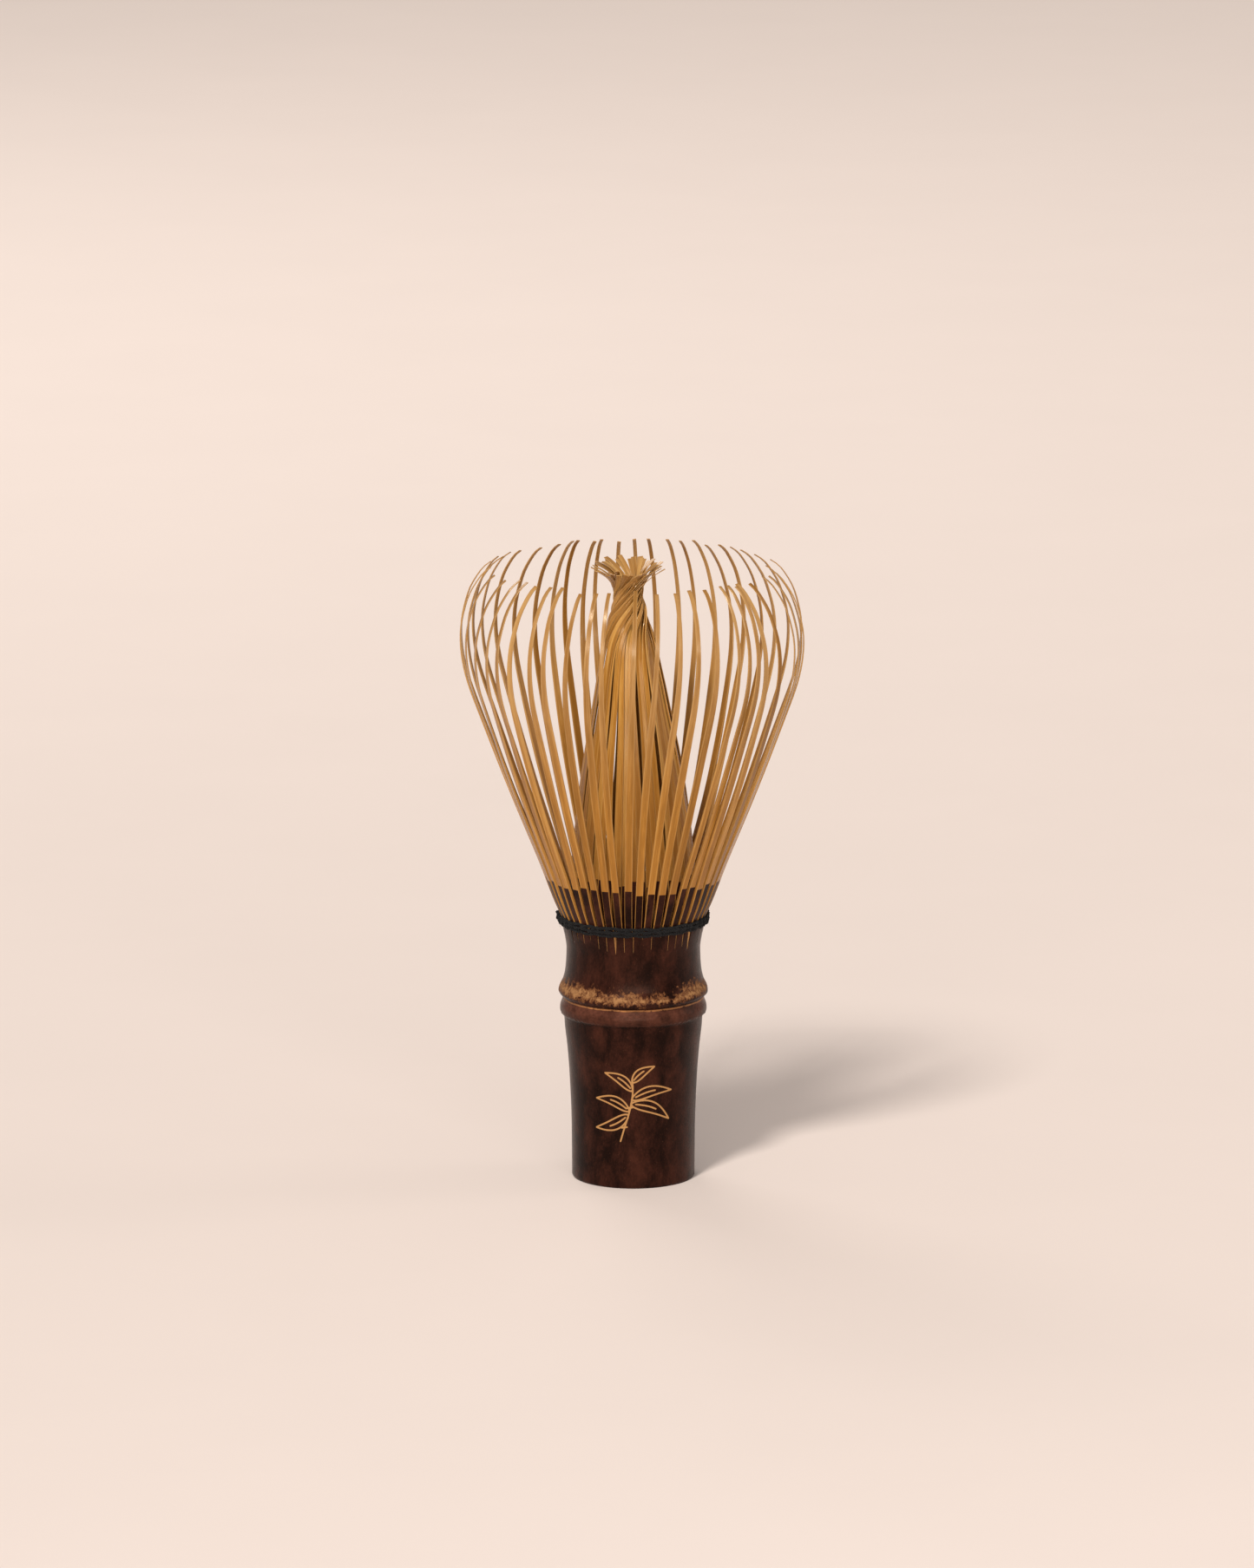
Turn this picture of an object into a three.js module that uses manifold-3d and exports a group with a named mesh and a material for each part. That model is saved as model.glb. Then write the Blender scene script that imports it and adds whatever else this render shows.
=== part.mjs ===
// Bamboo tea whisk (chasen): one bamboo culm whose top is split into an outer ring of springy tines
// and an inner bundle of tines twisted together at the neck, with a cotton thread laced round the roots.
// Millimetres, +Z up. The origin is the centre of the culm's cut base, on the surface it stands on.
import * as THREE from "three";
import { mergeVertices } from "three/addons/utils/BufferGeometryUtils.js";
import Module from "manifold-3d";

const wasm = await Module();
wasm.setup();

// --- Driving dimensions ---

// The culm's outside, from the cut base over the double ridge of the node to where it is split: radius, height.
const CULM_OUTSIDE = [
  [11.67, 0], [11.75, 10], [12.17, 19.8], [12.6, 24.9], [13.16, 29.9],
  [13.75, 30.9], [14.0, 32], [13.66, 33], [13.45, 34.1], [14.2, 35.5],
  [13.8, 37], [13.1, 39], [12.75, 42.1], [12.67, 44], [13.0, 46.2], [13.35, 49],
];
// The hollow above the node's wall, from the split top down to the axis.
const CUP_INSIDE = [[11.2, 49], [10.6, 46], [9.6, 42], [8.5, 38], [7.6, 36.6], [0, 36]];
// The hollow below the node's wall, from the axis out and down to the base.
const BORE_INSIDE = [[0, 33], [7.2, 32.4], [8, 30.8], [8, 0]];
const CULM_SIDES = 48;

const TINE_COUNT = 48;
const TINE_PITCH = (2 * Math.PI) / TINE_COUNT;
// The outer face of an outer tine, from its root behind the thread to its tip: radius, height.
const TINE_FACE = [
  [13.35, 49.3], [13.4, 50.5], [15.4, 53.5], [20.2, 65.3], [25.2, 78.8], [30, 92.3],
  [32, 98.6], [32.6, 104], [31.6, 110], [29.6, 114.4], [27.4, 116.9], [25.3, 118],
];
const TINE_WIDTH = { root: 1.0, tip: 0.65 };
const TINE_THICKNESS = { root: 0.45, tip: 0.2 };

const SLIT_WIDTH = 0.3;
const SLIT_BOTTOM = 46;

// The inner bundle: outer radius against height, from its roots through the neck to the flared tips.
const BUNDLE_FACE = [
  [12.05, 50.2], [9.9, 76.6], [7.5, 90], [5.5, 100], [4.35, 105], [3.6, 108], [3.1, 110],
  [2.8, 111.6], [2.75, 113], [3.05, 114.3], [3.7, 115.5], [4.9, 116.6], [6.7, 117.5],
];
const BUNDLE_STEPS_PER_POINT = 2;
const BUNDLE_NODES = 8;
const BUNDLE_THICKNESS = 0.4;
// Each node is six of the 48 inner tines side by side, and leaves a fifth of its share as a gap.
const BUNDLE_SHARE = 0.8;
// The tips are turned half round the axis, nearly all of it within a few millimetres of the neck.
const NECK_TWIST = 3.0;
const NECK_HEIGHT = 111.5;
const NECK_TWIST_REACH = 4.5;
// The bundle leans a little to one side by its tips.
const BUNDLE_LEAN = -1.2;

// The thread: a round outside the outer tines, a round inside them, and a crossing in every gap.
const THREAD_MIDDLE = 49.8;
const THREAD_OUTER = { inside: 13.85, outside: 14.4, height: 1.8 };
const THREAD_INNER = { inside: 12.35, outside: 12.65, height: 0.7 };
const THREAD_CROSSING = { width: 0.3, height: 0.5 };
const THREAD_SIDES = 96;

// --- Materials ---

const darkSkin = new THREE.MeshStandardMaterial({ color: 0x3a1f18, roughness: 0.4, metalness: 0 });
const shavedBamboo = new THREE.MeshStandardMaterial({ color: 0xb98a3c, roughness: 0.5, metalness: 0 });
const innerBamboo = new THREE.MeshStandardMaterial({ color: 0xb07f35, roughness: 0.55, metalness: 0 });
const blackCotton = new THREE.MeshStandardMaterial({ color: 0x1b1a1a, roughness: 0.95, metalness: 0 });

// --- Geometry helpers ---

const mix = (from, to, share) => from + (to - from) * share;

// A solid of revolution about Z from a closed profile of [radius, height] points.
function turned(profile, sides) {
  const points = profile.map(([radius, height]) => new THREE.Vector2(radius, height));
  return new THREE.LatheGeometry(points, sides).rotateX(Math.PI / 2);
}

function toSolid(geometry) {
  const bare = geometry.clone();
  bare.deleteAttribute("normal");
  bare.deleteAttribute("uv");
  const merged = mergeVertices(bare, 1e-4);
  const vertProperties = merged.attributes.position.array;
  const triVerts = new Uint32Array(merged.index.array);
  return new wasm.Manifold(new wasm.Mesh({ numProp: 3, vertProperties, triVerts }));
}

function toGeometry(solid) {
  const mesh = solid.getMesh();
  const geometry = new THREE.BufferGeometry();
  geometry.setAttribute("position", new THREE.BufferAttribute(mesh.vertProperties, 3));
  geometry.setIndex(new THREE.BufferAttribute(mesh.triVerts, 1));
  geometry.computeVertexNormals();
  return geometry;
}

// A closed skin through a row of sections, each the same number of points, anticlockwise seen from the end.
// Each four-cornered patch is split along its shorter diagonal, so a twisted strip keeps its thickness.
function lofted(sections) {
  const corners = sections[0].length;
  const last = (sections.length - 1) * corners;
  const points = sections.flat();
  const positions = points.flatMap((point) => point.toArray());
  const index = [];
  for (let row = 0; row < last; row += corners) {
    for (let i = 0; i < corners; i++) {
      const here = row + i;
      const next = row + ((i + 1) % corners);
      const hereUp = here + corners;
      const nextUp = next + corners;
      if (points[here].distanceTo(points[nextUp]) < points[next].distanceTo(points[hereUp])) {
        index.push(here, next, nextUp, here, nextUp, hereUp);
      } else {
        index.push(here, next, hereUp, next, nextUp, hereUp);
      }
    }
  }
  for (let i = 1; i < corners - 1; i++) {
    index.push(0, i + 1, i);
    index.push(last, last + i, last + i + 1);
  }
  const geometry = new THREE.BufferGeometry();
  geometry.setAttribute("position", new THREE.Float32BufferAttribute(positions, 3));
  geometry.setIndex(index);
  geometry.computeVertexNormals();
  return geometry;
}

function named(name, geometry, material) {
  const mesh = new THREE.Mesh(geometry, material);
  mesh.name = name;
  return mesh;
}

// --- The culm that is held in the hand ---

function culmHandle() {
  const profile = [...BORE_INSIDE, ...CULM_OUTSIDE, ...CUP_INSIDE];
  let culm = toSolid(turned(profile, CULM_SIDES));
  const top = CULM_OUTSIDE.at(-1)[1];
  const height = top - SLIT_BOTTOM + 1;
  for (let k = 0; k < TINE_COUNT; k++) {
    const slit = new THREE.BoxGeometry(6, SLIT_WIDTH, height);
    slit.translate(13, 0, SLIT_BOTTOM + height / 2);
    slit.rotateZ(k * TINE_PITCH);
    culm = culm.subtract(toSolid(slit));
  }
  return named("culm_handle", toGeometry(culm), darkSkin);
}

// --- Outer tines: thin tapered strips, each free to bend in its own radial plane ---

// The strip is drawn in the X-Z plane: four corners at each point of the face, square to the face.
function outerTineGeometry() {
  const face = new THREE.SplineCurve(TINE_FACE.map(([radius, height]) => new THREE.Vector2(radius, height)));
  const steps = TINE_FACE.length - 1;
  const sections = [];
  for (let i = 0; i <= steps; i++) {
    const share = i / steps;
    const point = face.getPoint(share);
    const along = face.getTangent(share);
    const half = mix(TINE_WIDTH.root, TINE_WIDTH.tip, share) / 2;
    const thickness = mix(TINE_THICKNESS.root, TINE_THICKNESS.tip, share);
    const inner = new THREE.Vector2(point.x - along.y * thickness, point.y + along.x * thickness);
    sections.push([
      new THREE.Vector3(inner.x, -half, inner.y),
      new THREE.Vector3(point.x, -half, point.y),
      new THREE.Vector3(point.x, half, point.y),
      new THREE.Vector3(inner.x, half, inner.y),
    ]);
  }
  return lofted(sections);
}

function outerTines() {
  const ring = new THREE.Group();
  const geometry = outerTineGeometry();
  for (let k = 1; k <= TINE_COUNT; k++) {
    const tine = named("outer_tine_" + String(k).padStart(2, "0"), geometry, shavedBamboo);
    tine.rotation.z = (k - 0.5) * TINE_PITCH;
    ring.add(tine);
  }
  return ring;
}

// --- Inner bundle: tines gathered to a twisted neck, then flared ---

const twistAt = (height) => (NECK_TWIST / 2) * (1 + Math.tanh((height - NECK_HEIGHT) / NECK_TWIST_REACH));

function innerTines(k) {
  const [, rootHeight] = BUNDLE_FACE[0];
  const [, tipHeight] = BUNDLE_FACE.at(-1);
  const halfAngle = (BUNDLE_SHARE * Math.PI) / BUNDLE_NODES;
  const face = new THREE.SplineCurve(BUNDLE_FACE.map(([radius, height]) => new THREE.Vector2(radius, height)));
  const stations = face.getPoints((BUNDLE_FACE.length - 1) * BUNDLE_STEPS_PER_POINT);
  const sections = stations.map(({ x: radius, y: height }) => {
    const middle = (2 * Math.PI * k) / BUNDLE_NODES + twistAt(height);
    const lean = BUNDLE_LEAN * ((height - rootHeight) / (tipHeight - rootHeight)) ** 2;
    const corner = (r, turn) =>
      new THREE.Vector3(r * Math.cos(middle + turn) + lean, r * Math.sin(middle + turn), height);
    const inside = radius - BUNDLE_THICKNESS;
    return [
      corner(radius, -halfAngle), corner(radius, 0), corner(radius, halfAngle),
      corner(inside, halfAngle), corner(inside, 0), corner(inside, -halfAngle),
    ];
  });
  return named("inner_tines_" + (k + 1), lofted(sections), innerBamboo);
}

function innerBundle() {
  const bundle = new THREE.Group();
  for (let k = 0; k < BUNDLE_NODES; k++) {
    bundle.add(innerTines(k));
  }
  return bundle;
}

// --- Binding thread, laced in and out of the outer tines ---

function threadRound({ inside, outside, height }) {
  const low = THREAD_MIDDLE - height / 2;
  const high = THREAD_MIDDLE + height / 2;
  const bulge = (outside - inside) / 4;
  const section = [
    [inside, low], [outside - bulge, low], [outside, THREAD_MIDDLE],
    [outside - bulge, high], [inside, high], [inside, low],
  ];
  return toSolid(turned(section, THREAD_SIDES));
}

function bindingThread() {
  let thread = threadRound(THREAD_OUTER).add(threadRound(THREAD_INNER));
  const length = THREAD_OUTER.inside - THREAD_INNER.outside + 0.3;
  const middle = (THREAD_OUTER.inside + THREAD_INNER.outside) / 2;
  for (let k = 0; k < TINE_COUNT; k++) {
    const crossing = new THREE.BoxGeometry(length, THREAD_CROSSING.width, THREAD_CROSSING.height);
    crossing.translate(middle, 0, THREAD_MIDDLE);
    crossing.rotateZ(k * TINE_PITCH);
    thread = thread.add(toSolid(crossing));
  }
  return named("binding_thread", toGeometry(thread), blackCotton);
}

// --- Assembly ---

const whisk = new THREE.Group();
whisk.add(culmHandle());
whisk.add(bindingThread());
whisk.add(outerTines());
whisk.add(innerBundle());

export default whisk;
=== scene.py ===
import math
import random

import bpy
import numpy as np
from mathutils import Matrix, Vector


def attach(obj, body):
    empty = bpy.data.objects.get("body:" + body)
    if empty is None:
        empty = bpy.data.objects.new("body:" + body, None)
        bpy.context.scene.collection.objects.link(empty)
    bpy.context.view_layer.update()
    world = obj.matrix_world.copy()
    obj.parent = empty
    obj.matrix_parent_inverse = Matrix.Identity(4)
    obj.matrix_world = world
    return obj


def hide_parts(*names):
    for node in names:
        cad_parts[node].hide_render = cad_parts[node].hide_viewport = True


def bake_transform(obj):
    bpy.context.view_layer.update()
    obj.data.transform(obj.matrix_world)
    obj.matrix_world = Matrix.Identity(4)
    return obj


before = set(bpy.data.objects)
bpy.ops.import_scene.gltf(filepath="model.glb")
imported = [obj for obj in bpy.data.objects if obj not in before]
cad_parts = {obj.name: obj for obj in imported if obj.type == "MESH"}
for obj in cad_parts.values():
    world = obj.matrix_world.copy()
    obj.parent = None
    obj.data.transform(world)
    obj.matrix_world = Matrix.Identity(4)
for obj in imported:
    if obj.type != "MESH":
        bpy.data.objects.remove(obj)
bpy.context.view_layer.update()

# --- Sizes, in millimetres unless a name says otherwise ---

MM = 0.001
TINES = 48
PITCH = 2 * math.pi / TINES
FRONT = -math.pi / 2
INNER_GROUPS = 8
STRANDS_IN_GROUP = TINES // INNER_GROUPS

# The first number of each stream of random draws. A tine or strand adds its own number.
CULM_SEED, WEAR_SEED, THREAD_SEED = 3, 8, 77
TINE_SEED, STRAND_SEED = 1000, 5000
TINE_SKIN_SEED, STRAND_SKIN_SEED = 7000, 9000

THREAD_Z = 50.4
CULM_TOP = 49.85

# The culm's outside, with the two ridges of its node: height, radius.
CULM_OUTSIDE = [
    (0, 11.67), (10, 11.75), (20, 12.15), (25, 12.53), (29.5, 13.03), (31.7, 13.22), (31.9, 13.5),
    (32.2, 13.8), (32.7, 13.95), (33.2, 13.93), (34.6, 13.5), (34.95, 13.4), (35.25, 13.42), (35.5, 13.68),
    (35.9, 14.05), (36.3, 14.2), (36.9, 14.08), (38.6, 13.33), (40.5, 12.93), (42.7, 12.75), (44.6, 12.7),
    (46.8, 12.98), (48.8, 13.4), (49.9, 13.55),
]
# The hollow above the node's wall, from the split top down, and the one below it: radius, height.
CUP_INSIDE = [
    (12.9, 49.85), (11.3, 49.8), (11.1, 49.4), (10.6, 46.6), (9.6, 42.6), (8.5, 38.6), (7.6, 37.2),
    (5, 36.8),
]
BORE_INSIDE = [(5, 32.9), (7.2, 32.4), (7.9, 30.8), (8.0, 26), (8.0, 4), (8.05, 0.25), (8.3, 0.0)]
NODE_WALL_TOP, NODE_WALL_BOTTOM = 36.1, 33.0
# Heights on the node: the lower ridge's edge, the worn line, the upper ridge and the scar's foot.
RIDGE_EDGE_Z, WORN_LINE_Z, UPPER_RIDGE_Z, SCAR_FOOT_Z = 32.05, 35.12, 36.1, 36.3

# The outer face of an outer tine, from the culm to its tip: radius, height.
TINE_FACE = [
    (13.4, 49.4), (13.6, 50.3), (14.05, 51.5), (14.85, 53.3), (17.1, 59.2), (20.35, 67.3), (25.2, 79.5),
    (29.7, 91.6), (31.1, 95.6), (32.1, 99.6), (32.55, 103.6), (32.4, 107.1), (31.7, 110.3),
    (30.7, 113.2), (29.2, 115.7), (27.8, 117.4), (26.2, 118.5),
]
# Width and thickness, each after the length along the tine.
TINE_WIDTH = [(0, 1.32), (10, 1.37), (20, 1.38), (35, 1.42), (47, 1.26), (60, 0.86), (82, 0.66)]
TINE_THICKNESS = [(0, 0.5), (2.5, 0.52), (7, 0.72), (12, 0.66), (25, 0.42), (45, 0.28), (82, 0.17)]
# The height up to which the strips keep the culm's dark skin.
SKIN_END = 58.7
# A point at the thread and one on the strip's free body; each tine works them out, but nothing uses them.
TINE_ROOT_RADIUS = 13.1
TINE_FREE_RADIUS = 18.0
FREE_Z = 62.0
# How far each tine's tip stands to one side of its root, in degrees round the whisk, from number 1 on.
TIP_LEANS = [
    -2, 1, 6, 9, 10, 10, 10, 9, 6, 6, 5, 3, 3, 2, -3, -4, -8, -8, -6, -4, -3, -6, -8, -6,
    -2, 5, 7, 8, 7, 5, 6, 2, 6, 5, 3, 4, 5, 5, 5, 2, 4, 1, -3, -7, -9, -6, -8, -5,
]

# The inner tines, which stand inside the outer ones: radius, height.
BUNDLE_FACE = [
    (12.35, 49.4), (12.2, 54.6), (11.6, 62.5), (10.75, 70.5), (9.9, 77), (8.75, 84), (7.5, 90.4),
    (6.4, 96.4), (5.5, 101), (4.9, 104), (4.05, 106.8), (3.4, 109.1), (2.65, 112.4), (2.85, 114.2),
    (3.35, 115.5), (4.2, 116.6), (6.8, 118.3),
]
# Width and thickness of an inner tine, each after its height.
STRAND_WIDTH = [
    (48.8, 1.38), (58, 1.4), (66, 1.34), (76, 1.22), (88, 1.02), (97, 0.86), (104, 0.8), (112, 0.74),
    (115, 0.78), (118, 0.98),
]
STRAND_THICKNESS = [(48.8, 0.4), (70, 0.3), (100, 0.2), (118, 0.13)]
# The tips are turned this far round the axis, in radians, nearly all of it near the neck.
NECK_TWIST = 3.0
NECK_HEIGHT = 112.0
NECK_TWIST_REACH = 4.5
# The bundle's tips stand this far to one side.
BUNDLE_LEAN = -1.2
BUNDLE_ROOT_Z, BUNDLE_TIP_Z = 50, 117.5
# How far in a strand lies where the bundle is narrow, for each of four neighbours.
STRAND_LAYERS = (0, -0.34, -0.17, -0.5)
# The inner tines are less dry at their tips, as if they ended this much further on, which also carries their
# painted root shade further up.
STRAND_LESS_DRY = 24


# --- Curves and small helpers ---

def smooth(low, high, value):
    """0 below low, 1 above high, and an even curve between."""
    t = np.clip((np.asarray(value, float) - low) / (high - low), 0, 1)
    return t * t * (3 - 2 * t)


def held(value, limit):
    """The value, kept between -limit and limit."""
    return max(-limit, min(limit, value))


def table(points, at):
    """The second number of each pair, read between the pairs where the first one is at."""
    xs, ys = zip(*points)
    return np.interp(at, xs, ys)


def even_profile(points):
    """A curve through (x, y) points that never overshoots them."""
    x, y = (np.array(c, float) for c in zip(*points))
    h = np.diff(x)
    d = np.diff(y) / h
    slope = np.zeros_like(x)
    same = d[:-1] * d[1:] > 0
    a, b = 2 * h[1:] + h[:-1], h[1:] + 2 * h[:-1]
    slope[1:-1][same] = ((a + b)[same]) / (a[same] / d[:-1][same] + b[same] / d[1:][same])
    slope[0], slope[-1] = d[0], d[-1]

    def at(q):
        q = np.clip(q, x[0], x[-1])
        i = np.clip(np.searchsorted(x, q, side="right") - 1, 0, len(h) - 1)
        t = (q - x[i]) / h[i]
        return (
            (1 + 2 * t) * (1 - t) ** 2 * y[i]
            + t * (1 - t) ** 2 * h[i] * slope[i]
            + t * t * (3 - 2 * t) * y[i + 1]
            + t * t * (t - 1) * h[i] * slope[i + 1]
        )

    return at


def spline(points):
    """A smooth curve through points, as a function of the length along it, and its whole length."""
    p = np.array(points, float)
    s = np.concatenate([[0], np.cumsum(np.linalg.norm(np.diff(p, axis=0), axis=1))])
    n = len(s)
    h = np.diff(s)
    m = np.zeros((n, n))
    v = np.zeros_like(p)
    m[0, 0] = m[-1, -1] = 1
    for i in range(1, n - 1):
        m[i, i - 1 : i + 2] = h[i - 1], 2 * (h[i - 1] + h[i]), h[i]
        v[i] = 6 * ((p[i + 1] - p[i]) / h[i] - (p[i] - p[i - 1]) / h[i - 1])
    bend = np.linalg.solve(m, v)

    def at(q):
        q = np.clip(np.atleast_1d(q), 0, s[-1])
        i = np.clip(np.searchsorted(s, q, side="right") - 1, 0, n - 2)
        a, b = (s[i + 1] - q)[:, None], (q - s[i])[:, None]
        w = h[i][:, None]
        return (
            bend[i] * a ** 3 / (6 * w)
            + bend[i + 1] * b ** 3 / (6 * w)
            + (p[i] / w - bend[i] * w / 6) * a
            + (p[i + 1] / w - bend[i + 1] * w / 6) * b
        )

    return at, s[-1]


def unit(v):
    """Each row at length 1."""
    return v / np.maximum(np.linalg.norm(v, axis=-1, keepdims=True), 1e-12)


def ripple(rng, harmonics, azimuth):
    """A random even ripple round the axis, from -1 to 1 or so."""
    total = np.zeros_like(azimuth)
    for n in harmonics:
        total = total + rng.uniform(0.4, 1) * np.sin(n * azimuth + rng.uniform(0, 2 * math.pi))
    return total / math.sqrt(len(harmonics))


def around(radius, azimuth, z):
    """Points round the axis. Any of the three may be one number for all of them."""
    return np.column_stack(np.broadcast_arrays(radius * np.cos(azimuth), radius * np.sin(azimuth), z))


def add_to_scene(name, data):
    """A new object in the scene that shows this mesh, light or camera."""
    ob = bpy.data.objects.new(name, data)
    bpy.context.scene.collection.objects.link(ob)
    return ob


class Shape:
    """Vertices, faces, material numbers and point attributes, gathered for one mesh."""

    def __init__(self):
        self.points, self.faces, self.slots = [], [], []
        self.values = {}
        self.count = 0

    def add(self, points, faces, slots=0, **values):
        """Adds points, with faces by their own numbers, and values with one entry for each point."""
        points = np.asarray(points, float)
        self.points.append(points)
        for f in faces:
            self.faces.append([i + self.count for i in f])
        self.slots.extend(slots if hasattr(slots, "__len__") else [slots] * len(faces))
        for name, v in values.items():
            self.values.setdefault(name, []).append(np.asarray(v, float))
        self.count += len(points)

    def mesh(self, name, materials, sharp=None):
        """The object. sharp is the angle in degrees above which an edge stays crisp."""
        me = bpy.data.meshes.new(name)
        points = np.concatenate(self.points) * MM
        me.from_pydata(points.tolist(), [], self.faces)
        me.polygons.foreach_set("material_index", self.slots)
        me.shade_smooth()
        if sharp is not None:
            me.set_sharp_from_angle(angle=math.radians(sharp))
        for key, parts in self.values.items():
            data = np.concatenate(parts)
            if data.ndim == 2:
                layer = me.attributes.new(key, "FLOAT_VECTOR", "POINT")
                layer.data.foreach_set("vector", data.astype(np.float32).ravel())
            else:
                layer = me.attributes.new(key, "FLOAT", "POINT")
                layer.data.foreach_set("value", data.astype(np.float32))
        me.update()
        for m in materials:
            me.materials.append(m)
        return add_to_scene(name, me)


def grid_faces(rows, columns, closed=True):
    """Quads between rows of points, facing out where rows go up and columns go anticlockwise."""
    faces = []
    for i in range(rows - 1):
        a, b = i * columns, (i + 1) * columns
        for j in range(columns if closed else columns - 1):
            k = (j + 1) % columns
            faces.append((a + j, a + k, b + k, b + j))
    return faces


# --- Procedural materials ---

class Material:
    """A node material round one Principled shader. Lengths in its patterns are millimetres."""

    def __init__(self, name, **sockets):
        self.material = bpy.data.materials.new(name)
        self.material.use_nodes = True
        self.tree = self.material.node_tree
        self.tree.nodes.clear()
        self.shader = self.node("ShaderNodeBsdfPrincipled")
        out = self.node("ShaderNodeOutputMaterial")
        self.tree.links.new(self.shader.outputs[0], out.inputs[0])
        for key, value in sockets.items():
            self.shader.inputs[key.replace("_", " ")].default_value = value

    def node(self, kind, **settings):
        n = self.tree.nodes.new(kind)
        for key, value in settings.items():
            setattr(n, key, value)
        return n

    def feed(self, socket, value):
        if isinstance(value, bpy.types.NodeSocket):
            self.tree.links.new(value, socket)
        elif isinstance(value, (tuple, list)) and socket.type == "RGBA" and len(value) == 3:
            socket.default_value = (*value, 1)
        else:
            socket.default_value = value

    def math(self, operation, a, b=0.0, clamp=False):
        n = self.node("ShaderNodeMath", operation=operation, use_clamp=clamp)
        self.feed(n.inputs[0], a)
        self.feed(n.inputs[1], b)
        return n.outputs[0]

    def plus(self, a, b, clamp=False):
        return self.math("ADD", a, b, clamp)

    def minus(self, a, b):
        return self.math("SUBTRACT", a, b)

    def times(self, a, b):
        return self.math("MULTIPLY", a, b)

    def step(self, value, low, high):
        """0 where value is at low, 1 where it is at high, smooth between. low may be above high."""
        n = self.node("ShaderNodeMapRange", interpolation_type="SMOOTHSTEP")
        self.feed(n.inputs["Value"], value)
        n.inputs["From Min"].default_value = low
        n.inputs["From Max"].default_value = high
        return n.outputs[0]

    def mix(self, share, a, b):
        """Colour a where share is 0, colour b where it is 1."""
        n = self.node("ShaderNodeMix", data_type="RGBA")
        self.feed(n.inputs[0], share)
        self.feed(n.inputs[6], a)
        self.feed(n.inputs[7], b)
        return n.outputs[2]

    def attribute(self, name, output="Fac"):
        return self.node("ShaderNodeAttribute", attribute_name=name).outputs[output]

    def place(self):
        """The point in millimetres."""
        n = self.node("ShaderNodeVectorMath", operation="SCALE")
        self.feed(n.inputs[0], self.node("ShaderNodeTexCoord").outputs["Object"])
        n.inputs["Scale"].default_value = 1 / MM
        return n.outputs[0]

    def stretched(self, vector, scale, shift=(0, 0, 0)):
        """The point scaled along each axis, then moved to another part of the pattern."""
        n = self.node("ShaderNodeMapping")
        self.feed(n.inputs["Vector"], vector)
        n.inputs["Scale"].default_value = scale
        n.inputs["Location"].default_value = shift
        return n.outputs[0]

    def noise(self, vector, scale=1.0, detail=3.0, roughness=0.55, distortion=0.0):
        """Noise from 0 to 1."""
        n = self.node("ShaderNodeTexNoise")
        self.feed(n.inputs["Vector"], vector)
        n.inputs["Scale"].default_value = scale
        n.inputs["Detail"].default_value = detail
        n.inputs["Roughness"].default_value = roughness
        n.inputs["Distortion"].default_value = distortion
        return n.outputs["Fac"]

    def bump(self, height, distance, strength):
        """Fine relief. distance is in millimetres."""
        n = self.node("ShaderNodeBump")
        n.inputs["Strength"].default_value = strength
        n.inputs["Distance"].default_value = distance * MM
        self.feed(n.inputs["Height"], height)
        self.feed(self.shader.inputs["Normal"], n.outputs[0])

    def colour(self, socket):
        self.feed(self.shader.inputs["Base Color"], socket)

    def roughness(self, socket):
        self.feed(self.shader.inputs["Roughness"], socket)


SKIN_DARK = (0.005, 0.0019, 0.0016)
SKIN_RED = (0.056, 0.0165, 0.0098)
SKIN_SPECK = (0.12, 0.045, 0.022)
RIDGE_RED = (0.125, 0.044, 0.027)
SCAR_TAN = (0.31, 0.155, 0.062)
SCAR_BROWN = (0.12, 0.045, 0.018)
GROOVE_GOLD = (0.38, 0.165, 0.06)
MARK_BROWN = (0.36, 0.18, 0.065)
MARK_TAN = (0.47, 0.25, 0.095)
SPLIT_GOLD = (0.34, 0.155, 0.045)
SPLIT_PALE = (0.6, 0.36, 0.15)
CUT_BROWN = (0.23, 0.115, 0.045)
CUT_PALE = (0.5, 0.3, 0.13)
CUT_STAIN = (0.14, 0.06, 0.025)
CUT_BUNDLE = (0.11, 0.045, 0.02)
FLESH_GOLD = (0.425, 0.183, 0.026)
FLESH_PALE = (0.63, 0.345, 0.085)
FLESH_BROWN = (0.24, 0.098, 0.012)
# Painted shade and warm reflection near the strips' roots.
ROOT_PAINTED_SHADE = (0.27, 0.1, 0.014)
FLESH_ASHEN = (0.41, 0.265, 0.125)
# Painted highlight along the strips' edges.
EDGE_PAINTED_HIGHLIGHT = (0.66, 0.38, 0.13)
COTTON_BLACK = (0.0045, 0.0043, 0.0045)
COTTON_GREY = (0.017, 0.016, 0.0165)

# The drawn line's width, and how far its colour fades at each edge.
LINE_WIDTH, LINE_FADE = 0.31, 0.045


def height_of(m, point):
    """The point's height above the base."""
    parts = m.node("ShaderNodeSeparateXYZ")
    m.feed(parts.inputs[0], point)
    return parts.outputs["Z"]


def skin_colour(m, p):
    """Smoked skin of the culm: near black, mottled red-brown, with fine pale specks."""
    broad = m.noise(m.stretched(p, (0.28, 0.28, 0.14)), detail=4.0, roughness=0.6, distortion=0.3)
    fine = m.noise(m.stretched(p, (2.6, 2.6, 1.5), (7, 3, 1)), detail=5.0, roughness=0.7)
    share = m.plus(m.times(broad, 0.9), m.times(fine, 0.32))
    base = m.mix(m.step(share, 0.42, 0.95), SKIN_DARK, SKIN_RED)
    specks = m.noise(m.stretched(p, (5.5, 5.5, 3.5), (2, 9, 4)), detail=2.0, roughness=0.5)
    return m.mix(m.times(m.step(specks, 0.67, 0.76), 0.5), base, SKIN_SPECK)


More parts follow.
